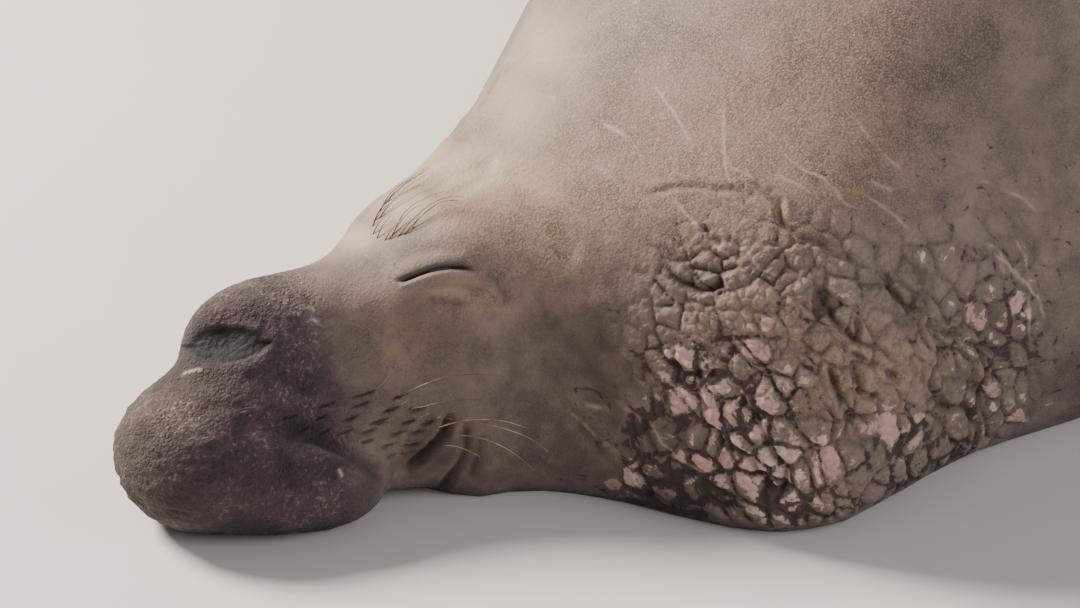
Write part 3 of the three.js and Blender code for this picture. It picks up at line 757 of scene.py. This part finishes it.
def sums(tree, operation, a, b, clamp=False):
    """Arithmetic on two values."""
    node = put(tree, "ShaderNodeMath", {0: a, 1: b}, operation=operation, use_clamp=clamp)
    return node.outputs[0]


def times(tree, a, b):
    """One value times another."""
    return sums(tree, "MULTIPLY", a, b)


def plus(tree, a, b):
    """One value and another together."""
    return sums(tree, "ADD", a, b)


def spread(tree, value, low, high):
    """A value stretched so that low becomes nought and high becomes one."""
    return put(
        tree,
        "ShaderNodeMapRange",
        {"Value": value, "From Min": low, "From Max": high},
        interpolation_type="SMOOTHSTEP",
    ).outputs[0]


def weighed(tree, *parts):
    """Several values added up, each times its weight."""
    total = times(tree, *parts[0])
    for value, weight in parts[1:]:
        total = plus(tree, total, times(tree, value, weight))
    return total


def clouding(tree, vector, scale, detail, roughness, distortion=0.0):
    """Soft noise, scale waves to the metre."""
    inputs = {"Vector": vector, "Scale": scale, "Detail": detail, "Roughness": roughness}
    inputs["Distortion"] = distortion
    return put(tree, "ShaderNodeTexNoise", inputs).outputs[0]


def socket(group, name, way="INPUT", kind="Float"):
    """Gives a node group one more input or output."""
    return group.interface.new_socket(name, in_out=way, socket_type="NodeSocket" + kind)


grain = bpy.data.node_groups.new("hide_grain", "ShaderNodeTree")
socket(grain, "Vector", kind="Vector")
for name, value in (("Mottle Scale", 16.0), ("Blotch Scale", 60.0), ("Speck Scale", 420.0)):
    socket(grain, name).default_value = value
for name in ("Mottle", "Blotch", "Speck", "Pores", "Streaks"):
    socket(grain, name, "OUTPUT")
into = grain.nodes.new("NodeGroupInput").outputs
out_of = grain.nodes.new("NodeGroupOutput").inputs
pores = put(grain, "ShaderNodeTexVoronoi", {"Vector": into["Vector"], "Scale": 240.0})
drawn_out = put(grain, "ShaderNodeMapping", {"Vector": into["Vector"], "Scale": (220, 800, 620)})
for name, value in (
    ("Mottle", clouding(grain, into["Vector"], into["Mottle Scale"], 4.0, 0.66)),
    ("Blotch", clouding(grain, into["Vector"], into["Blotch Scale"], 3.0, 0.6, 0.6)),
    ("Speck", clouding(grain, into["Vector"], into["Speck Scale"], 2.0, 0.7)),
    ("Pores", pores.outputs["Distance"]),
    ("Streaks", clouding(grain, drawn_out.outputs[0], 1.0, 2.0, 0.65)),
):
    grain.links.new(value, out_of[name])


def grained(tree, **scales):
    """The hide's grain placed in a material, on the piece's own coordinates."""
    spot = tree.nodes.new("ShaderNodeTexCoord").outputs["Object"]
    group = put(tree, "ShaderNodeGroup", node_tree=grain)
    tree.links.new(spot, group.inputs["Vector"])
    for key, value in scales.items():
        group.inputs[key.replace("_", " ")].default_value = value
    return spot, group.outputs


# The colours of the hide, the same on skin and coat: short dry taupe hair on a purple grey hide,
# bare on the nose, worn pink and black on the shield, with sand dusted over the back, and with
# painted shade and painted highlights laid over them.
markings = bpy.data.node_groups.new("hide_markings", "ShaderNodeTree")
socket(markings, "Vector", kind="Vector")
for name in ("Mottle", "Blotch", "Speck", "Streaks", *hide_layers):
    socket(markings, name)
socket(markings, "Colour", "OUTPUT", "Color")
socket(markings, "Knobs", "OUTPUT")
marks = markings.nodes.new("NodeGroupInput").outputs
shown = markings.nodes.new("NodeGroupOutput").inputs
tree = markings
clouds = spread(tree, marks["Mottle"], 0.30, 0.70)
colour = blended(tree, clouds, (0.088, 0.064, 0.063), (0.178, 0.130, 0.118))
lighter = times(tree, spread(tree, marks["Streaks"], 0.34, 0.74), 0.40)
colour = blended(tree, lighter, colour, (0.255, 0.197, 0.158))
# Painted highlight: the pale layer lightens the forehead, the brow and the top of the back.
colour = blended(tree, times(tree, marks["pale"], 0.85), colour, (0.500, 0.385, 0.295))
bare = blended(tree, clouds, (0.034, 0.023, 0.027), (0.092, 0.061, 0.064))
frost = clouding(tree, marks["Vector"], 170.0, 3.0, 0.75)
frost = times(tree, spread(tree, frost, 0.52, 0.66), spread(tree, marks["Mottle"], 0.35, 0.7))
bare = blended(tree, times(tree, frost, 0.8), bare, (0.300, 0.245, 0.235))
colour = blended(tree, marks["rough"], colour, bare)
# Painted shade: this dark layer darkens the hide where it lies, less where the mottling is light.
dim = times(tree, marks["umber"], spread(tree, marks["Mottle"], 0.95, 0.25))
colour = blended(tree, times(tree, dim, 0.78), colour, (0.046, 0.031, 0.031))
earth = spread(tree, plus(tree, marks["Speck"], marks["Blotch"]), 0.80, 1.15)
earth = times(tree, marks["ochre"], earth)
colour = blended(tree, times(tree, earth, 0.85), colour, (0.330, 0.212, 0.128))
sand = times(tree, marks["dust"], spread(tree, marks["Speck"], 0.49, 0.59))
colour = blended(tree, times(tree, sand, 0.70), colour, (0.340, 0.250, 0.172))
# The crests of the cobbles are painted lighter, partly as wear and partly as painted highlight.
worn_and_lit_crest = times(tree, times(tree, marks["dome"], marks["cobble"]), 0.30)
colour = blended(tree, worn_and_lit_crest, colour, (0.290, 0.225, 0.180))
likely = (("Blotch", 1.8), ("pink", 0.85), ("tone", 0.25), ("dome", 0.55))
rosy = weighed(tree, *[(marks[name], weight) for name, weight in likely])
rosy = times(tree, spread(tree, rosy, 1.80, 1.98), spread(tree, marks["pink"], 0.05, 0.3))
raw = blended(tree, marks["tone"], (0.560, 0.395, 0.370), (0.370, 0.175, 0.180))
raw = blended(tree, spread(tree, marks["Mottle"], 0.35, 0.65), raw, (0.460, 0.280, 0.262))
colour = blended(tree, rosy, colour, raw)
soot = clouding(tree, marks["Vector"], 40.0, 4.0, 0.62, 1.2)
sooty = plus(tree, times(tree, marks["black"], 0.36), soot)
# The black comes more readily where the cobbles dip, so the hollows between them are darker.
hollows = sums(tree, "SUBTRACT", 0.5, marks["dome"])
sooty = plus(tree, sooty, times(tree, hollows, 0.24))
sooty = times(tree, spread(tree, sooty, 0.68, 0.76), 0.92)
colour = blended(tree, sooty, colour, (0.044, 0.031, 0.031))
# Pale scars, and painted highlights on the rim of the lower lid and on the nose.
colour = blended(tree, marks["scar"], colour, (0.430, 0.330, 0.290))
# Painted shade in the creases, folds, slits and seams.
colour = blended(tree, times(tree, marks["crease"], 0.68), colour, (0.034, 0.023, 0.021))
# Near black where the hide is wet, and painted shade in the eye slits and the nose's pit.
tree.links.new(blended(tree, marks["wet"], colour, (0.011, 0.009, 0.012)), shown["Colour"])
small = put(
    tree,
    "ShaderNodeTexVoronoi",
    {"Vector": marks["Vector"], "Scale": 95.0, "Detail": 1.0, "Roughness": 0.5},
).outputs["Distance"]
tree.links.new(times(tree, small, marks["cobble"]), shown["Knobs"])


def marked(tree, spot, made_of):
    """The hide's colours placed in a material, led by the marks that its mesh carries."""
    group = put(tree, "ShaderNodeGroup", node_tree=markings)
    tree.links.new(spot, group.inputs["Vector"])
    for name in ("Mottle", "Blotch", "Speck", "Streaks"):
        tree.links.new(made_of[name], group.inputs[name])
    mark = {}
    for name in hide_layers:
        mark[name] = put(tree, "ShaderNodeAttribute", attribute_name=name).outputs["Fac"]
        tree.links.new(mark[name], group.inputs[name])
    return mark, group.outputs["Colour"], group.outputs["Knobs"]


# The skin's own finish: dull and pored, wet in the nose and between the lids, knobbly on the
# nose, with the hair's lie as fine streaks in its relief.
hide, tree, shader = finish_called(
    "hide", Specular_IOR_Level=0.25, Sheen_Weight=0.04, Sheen_Roughness=0.5
)
spot, made_of = grained(tree)
mark, colour, knobs = marked(tree, spot, made_of)
tree.links.new(colour, shader.inputs["Base Color"])
shine = ((mark["wet"], -0.08), (mark["rough"], 0.04), (made_of["Streaks"], 0.14))
gloss = weighed(tree, *shine)
dullness = sums(tree, "ADD", gloss, 0.64, clamp=True)
tree.links.new(dullness, shader.inputs["Roughness"])
coarse = put(
    tree,
    "ShaderNodeTexVoronoi",
    {"Vector": spot, "Scale": 130.0, "Detail": 1.0, "Roughness": 0.6},
    feature="DISTANCE_TO_EDGE",
).outputs["Distance"]
heights = (("Streaks", 0.40), ("Speck", 0.45), ("Blotch", 0.9), ("Pores", 0.35))
relief = weighed(tree, *[(made_of[name], height) for name, height in heights], (knobs, -1.1))
pebbles = plus(tree, spread(tree, coarse, 0.0, 0.25), made_of["Speck"])
pebbles = times(tree, pebbles, sums(tree, "SUBTRACT", mark["rough"], mark["wet"], clamp=True))
relief = plus(tree, relief, times(tree, pebbles, 1.5))
bump = put(tree, "ShaderNodeBump", {"Strength": 0.7, "Distance": 0.0022, "Height": relief})
tree.links.new(bump.outputs[0], shader.inputs["Normal"])
painted(skin, hide)
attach(skin, "root")
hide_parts(*flesh_nodes)

# The coat: short stiff hairs lying back along the body, in small flat tufts of three. They
# show where the form turns away, and leave the nose, the shield and the belly's edge bare.
coat_look, tree, shader = finish_called("coat", Specular_IOR_Level=0.3)
spot, made_of = grained(tree)
_, colour, _ = marked(tree, spot, made_of)
hair_end = put(tree, "ShaderNodeAttribute", attribute_name="tip").outputs["Fac"]
paler = times(tree, hair_end, 0.35)
tree.links.new(blended(tree, paler, colour, (0.300, 0.235, 0.190)), shader.inputs["Base Color"])
tree.links.new(spread(tree, made_of["Streaks"], 0.2, 0.9), shader.inputs["Roughness"])

spots = places(skin.data)
facing = facings(skin.data)
from_head = head_rows(spots)
body_x = spots[:, 0] - head_foot.x
corners = np.empty(len(skin.data.polygons) * 3, np.int32)
skin.data.polygons.foreach_get("vertices", corners)
corners = corners.reshape(-1, 3)
sides_of = spots[corners[:, 1]] - spots[corners[:, 0]], spots[corners[:, 2]] - spots[corners[:, 0]]
area = np.linalg.norm(np.cross(*sides_of), axis=1) / 2
haired = 1 - smoothstep(from_head[:, 0], 0.02, 0.10)
haired *= 1 - smoothstep(shield_mask(spots), 0.15, 0.5)
haired *= smoothstep(spots[:, 2], 0.012, 0.04)
haired *= np.linalg.norm(from_head * (1, 0, 1) - (-0.008, 0, 0.285), axis=1) > 0.045
low, high = spots.min(0), spots.max(0)
draw = np.random.default_rng(23)
blade_wide = 0.0004
blades_apart = 0.0014
root_depth = 0.0006
for kind, part, count, long in (
    ("coat_head", body_x < 0.10, 12000, 0.0055),
    ("coat_neck", (body_x >= 0.10) & (body_x < 0.85), 16000, 0.0085),
    ("coat_back", (body_x >= 0.85) & (body_x < 2.1), 15000, 0.0110),
    ("coat_rump", body_x >= 2.1, 15000, 0.0110),
):
    wanted = area * (haired * part)[corners].mean(1)
    face = draw.choice(len(corners), count, p=wanted / wanted.sum())
    share = draw.dirichlet((1, 1, 1), count)
    root = np.einsum("ij,ijk->ik", share, spots[corners[face]])
    up = facing[corners[face, 0]]
    back = np.array((1.0, 0.0, -0.25)) + draw.normal(0, 0.10, (count, 3))
    lie = back - up * np.sum(back * up, axis=1)[:, None]
    lie /= np.linalg.norm(lie, axis=1)[:, None]
    side = np.cross(up, lie)
    reach = long * draw.uniform(0.7, 1.25, count)[:, None]
    rows, ends = [], []
    for blade in (-1, 0, 1):
        foot = root + side * (blade * blades_apart) - up * root_depth
        way = lie + up * (0.09 + 0.04 * abs(blade)) + side * (0.20 * blade)
        tip = foot + way * reach * (1 - 0.15 * abs(blade))
        rows += [foot + side * blade_wide, foot - side * blade_wide, foot + up * blade_wide, tip]
        ends += [0, 0, 0, 1]
    hairs = np.stack(rows, 1).reshape(-1, 3)
    hairs[:, 2] = np.maximum(hairs[:, 2], off_the_floor + 0.0001)
    one = np.array([(0, 2, 3), (2, 1, 3), (1, 0, 3), (0, 1, 2)])
    tuft = np.concatenate([one + 4 * blade for blade in range(3)])
    faces = (tuft[None] + 12 * np.arange(count)[:, None, None]).reshape(-1, 3)
    coat_mesh = bpy.data.meshes.new(kind)
    coat_mesh.from_pydata(hairs.tolist(), [], faces.tolist())
    for name in hide_layers:
        values = np.empty(len(spots), np.float32)
        skin.data.attributes[name].data.foreach_get("value", values)
        carry(coat_mesh, name, np.repeat(values[corners[face, 0]], 12))
    carry(coat_mesh, "tip", np.tile(ends, count))
    turn = np.arctan2(root[:, 1] - head_foot.y + head_aside, root[:, 2] - 0.1)
    on_map = np.stack([(root[:, 0] - low[0]) / (high[0] - low[0]), turn / math.tau + 0.5], 1)
    small = np.tile([(-1, -1), (1, -1), (0, 0), (0, 1)], (3, 1)) * 0.0014
    on_map = (on_map[:, None] * 0.96 + 0.02 + small[None]).reshape(-1, 2)
    bake_map = coat_mesh.uv_layers.new(name="OFBake")
    bake_map.data.foreach_set("uv", on_map[faces.ravel()].ravel())
    smooth_shaded(coat_mesh)
    coat_mesh.normals_split_custom_set_from_vertices(np.repeat(up, 12, axis=0).tolist())
    hair_coat = placed(coat_mesh)
    painted(hair_coat, coat_look)
    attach(hair_coat, "root")

# The eyeballs, dark brown black and wet, almost hidden between the lids. They keep the
# solids' own shape.
eye_wet, tree, shader = finish_called("eye_wet", Roughness=0.12, Coat_Weight=1.0)
spot, made_of = grained(tree, Mottle_Scale=120.0)
deep = blended(tree, made_of["Mottle"], (0.004, 0.003, 0.004), (0.020, 0.013, 0.010))
tree.links.new(deep, shader.inputs["Base Color"])
for side in ("left", "right"):
    painted(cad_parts[f"eye_{side}"], eye_wet)

# The claws of the fore flippers: strong curved horn, near black at the root and worn paler
# at the tip, each grown out of its own digit.
horn, tree, shader = finish_called("horn", Roughness=0.38)
spot, made_of = grained(tree, Mottle_Scale=60.0)
height = put(tree, "ShaderNodeSeparateXYZ", {0: spot}).outputs[2]
tip = spread(tree, height, 0.014, 0.002)
dark_horn = blended(tree, made_of["Streaks"], (0.012, 0.010, 0.010), (0.055, 0.042, 0.036))
pale = blended(tree, times(tree, tip, 0.6), dark_horn, (0.130, 0.100, 0.080))
tree.links.new(pale, shader.inputs["Base Color"])
ridges = put(
    tree, "ShaderNodeBump", {"Strength": 0.4, "Distance": 0.0006, "Height": made_of["Streaks"]}
)
tree.links.new(ridges.outputs[0], shader.inputs["Normal"])
for name in sorted(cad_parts):
    if not name.startswith("claw_"):
        continue
    shell = bmesh.new()
    shell.from_mesh(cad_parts[name].data)
    bmesh.ops.remove_doubles(shell, verts=shell.verts, dist=1e-6)
    bmesh.ops.subdivide_edges(shell, edges=shell.edges, cuts=1, use_grid_fill=True, smooth=0.6)
    bmesh.ops.triangulate(shell, faces=shell.faces)
    claw = shaped(name.replace("claw", "horn"), shell)
    smooth_shaded(claw.data)
    painted(claw, horn)
    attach(claw, "root")
    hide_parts(name)

# The whiskers, stiff tapering hairs out of the pockets of both pads and over both eyes. The
# dark ones sweep up and back, and the pale ones droop behind the corner of the mouth.
grown_tree = BVHTree.FromObject(skin, bpy.context.evaluated_depsgraph_get())
pad_whiskers = [
    ([(392, 399), (407, 393), (425, 384), (450, 376), (478, 374), (502, 376)], 1, 30),
    ([(402, 410), (422, 407), (447, 401), (476, 399), (503, 402)], 1, 28),
    ([(366, 402), (377, 390), (392, 374)], 1, 14),
    ([(400, 424), (418, 419), (440, 408), (456, 404)], 1, 18),
    ([(372, 427), (392, 419), (414, 404)], 1, 14),
    ([(383, 412), (402, 404), (424, 392)], 1, 16),
    ([(444, 418), (470, 421), (500, 427), (530, 438), (549, 452)], 0, 24),
    ([(450, 435), (478, 437), (508, 449), (535, 470)], 0, 22),
    ([(436, 428), (466, 420), (500, 420), (528, 428)], 0, 26),
    ([(430, 446), (456, 446), (480, 456)], 0, 16),
    ([(345, 419), (362, 412), (380, 400)], 1, 10),
    ([(421, 425), (440, 417), (462, 414)], 1, 16),
]
brow_whiskers = [
    ([(375, 244), (382, 227), (392, 214)], 1, 12),
    ([(386, 246), (397, 227), (410, 211), (423, 204)], 1, 16),
    ([(392, 245), (410, 222), (430, 205), (449, 197), (463, 197)], 1, 18),
    ([(399, 242), (417, 220), (440, 203), (460, 200)], 1, 16),
    ([(406, 238), (421, 216), (442, 202), (466, 201)], 0, 14),
    ([(387, 245), (405, 212), (428, 197), (447, 191)], 0, 22),
    ([(381, 247), (392, 229), (404, 217)], 1, 10),
]


def grown_path(dots, lift):
    """A whisker's line: its root in the hide, the rest standing off it, as the picture shows."""
    line = []
    for k, dot in enumerate(dots):
        place = grown_tree.ray_cast(camera_place, sight(dot))[0]
        if place is None:
            continue
        t = k / (len(dots) - 1)
        rise_off = -0.006 if k == 0 else 0.001 * lift * math.sin(min(1.0, t * 1.3) * 1.5)
        line.append(place + camera_back * rise_off)
    return line


def whisker(shape, line, thick):
    """Adds a tapering five sided hair along a smooth line through the given places."""
    smooth = []
    for k in range(len(line) - 1):
        before, after = line[max(0, k - 1)], line[min(len(line) - 1, k + 2)]
        for step in range(4):
            t = step / 4
            a, b = line[k], line[k + 1]
            bend = (2 * before - 5 * a + 4 * b - after) * t * t
            twist = (3 * a - before - 3 * b + after) * t**3
            smooth.append(0.5 * (2 * a + (b - before) * t + bend + twist))
    smooth.append(line[-1])
    ring = None
    for k, place in enumerate(smooth):
        ahead = smooth[min(k + 1, len(smooth) - 1)] - smooth[max(k - 1, 0)]
        turn = ahead.to_track_quat("Z", "Y").to_matrix().to_4x4()
        width = thick * (1 - 0.85 * k / (len(smooth) - 1))
        made = bmesh.ops.create_circle(
            shape, segments=5, radius=width, matrix=Matrix.Translation(place) @ turn
        )["verts"]
        if ring:
            edges = [e for v in ring + made for e in v.link_edges]
            edges = [
                e
                for e in set(edges)
                if (e.verts[0] in ring and e.verts[1] in ring)
                or (e.verts[0] in made and e.verts[1] in made)
            ]
            bmesh.ops.bridge_loops(shape, edges=edges)
        else:
            shape.faces.new(list(reversed(made)))
        ring = made
    shape.faces.new(ring)


hair_looks = []
for name, root_colour, tip_colour in (
    ("whisker_dark", (0.030, 0.022, 0.018), (0.110, 0.075, 0.050)),
    ("whisker_pale", (0.150, 0.095, 0.050), (0.520, 0.390, 0.230)),
):
    look, tree, shader = finish_called(name, Roughness=0.35)
    spot, made_of = grained(tree, Mottle_Scale=30.0)
    tint = blended(tree, spread(tree, made_of["Mottle"], 0.35, 0.65), root_colour, tip_colour)
    tree.links.new(tint, shader.inputs["Base Color"])
    hair_looks.append(look)

for kind, dark in (("whiskers_pale", 0), ("whiskers_dark", 1)):
    shape = bmesh.new()
    for dots, is_dark, lift in pad_whiskers + brow_whiskers:
        if is_dark != dark:
            continue
        line = grown_path(dots, lift)
        for path in (line, [opposite(place) for place in line]):
            if len(path) > 2:
                whisker(shape, path, 0.00085 if dark else 0.0010)
    bmesh.ops.recalc_face_normals(shape, faces=shape.faces)
    hair = shaped(kind, shape)
    smooth_shaded(hair.data)
    painted(hair, hair_looks[1 - dark])
    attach(hair, "root")

# The floor, which is not part of the animal: a plain pale painted board, wide enough to fill
# the picture, brushed so faintly that it looks even.
sweep = bmesh.new()
bmesh.ops.create_grid(sweep, x_segments=1, y_segments=1, size=20)
floor = shaped("floor", sweep)
pale_floor, tree, shader = finish_called("pale_floor", Roughness=0.85)
floor_spot = tree.nodes.new("ShaderNodeTexCoord").outputs["Object"]
brushed = clouding(tree, floor_spot, 3.0, 4.0, 0.5)
wash = blended(tree, brushed, (0.60, 0.585, 0.56), (0.66, 0.645, 0.62))
tree.links.new(wash, shader.inputs["Base Color"])
painted(floor, pale_floor)

# The light: one broad soft source high behind the head, where the photograph's daylight comes
# from, a weaker one over the camera's shoulder, and a pale surround.
for name, place, size, power, tint in (
    ("key", (-1.6, 4.2, 3.6), 2.0, 1120, (1.0, 0.90, 0.79)),
    ("fill", (1.6, -5.2, 3.0), 4.0, 190, (1.0, 0.98, 0.97)),
):
    lamp = bpy.data.lights.new(name, "AREA")
    lamp.shape = "DISK"
    lamp.size = size
    lamp.energy = power
    lamp.color = tint
    source = placed(lamp)
    source.location = head_foot + Vector(place)
    aim = head_foot + Vector((0.3, -0.1, 0.2)) - source.location
    source.rotation_euler = aim.to_track_quat("-Z", "Y").to_euler()
world = bpy.data.worlds.new("surround")
bpy.context.scene.world = world
world.use_nodes = True
world.node_tree.nodes["Background"].inputs[0].default_value = (0.88, 0.89, 0.92, 1)
world.node_tree.nodes["Background"].inputs[1].default_value = 0.34
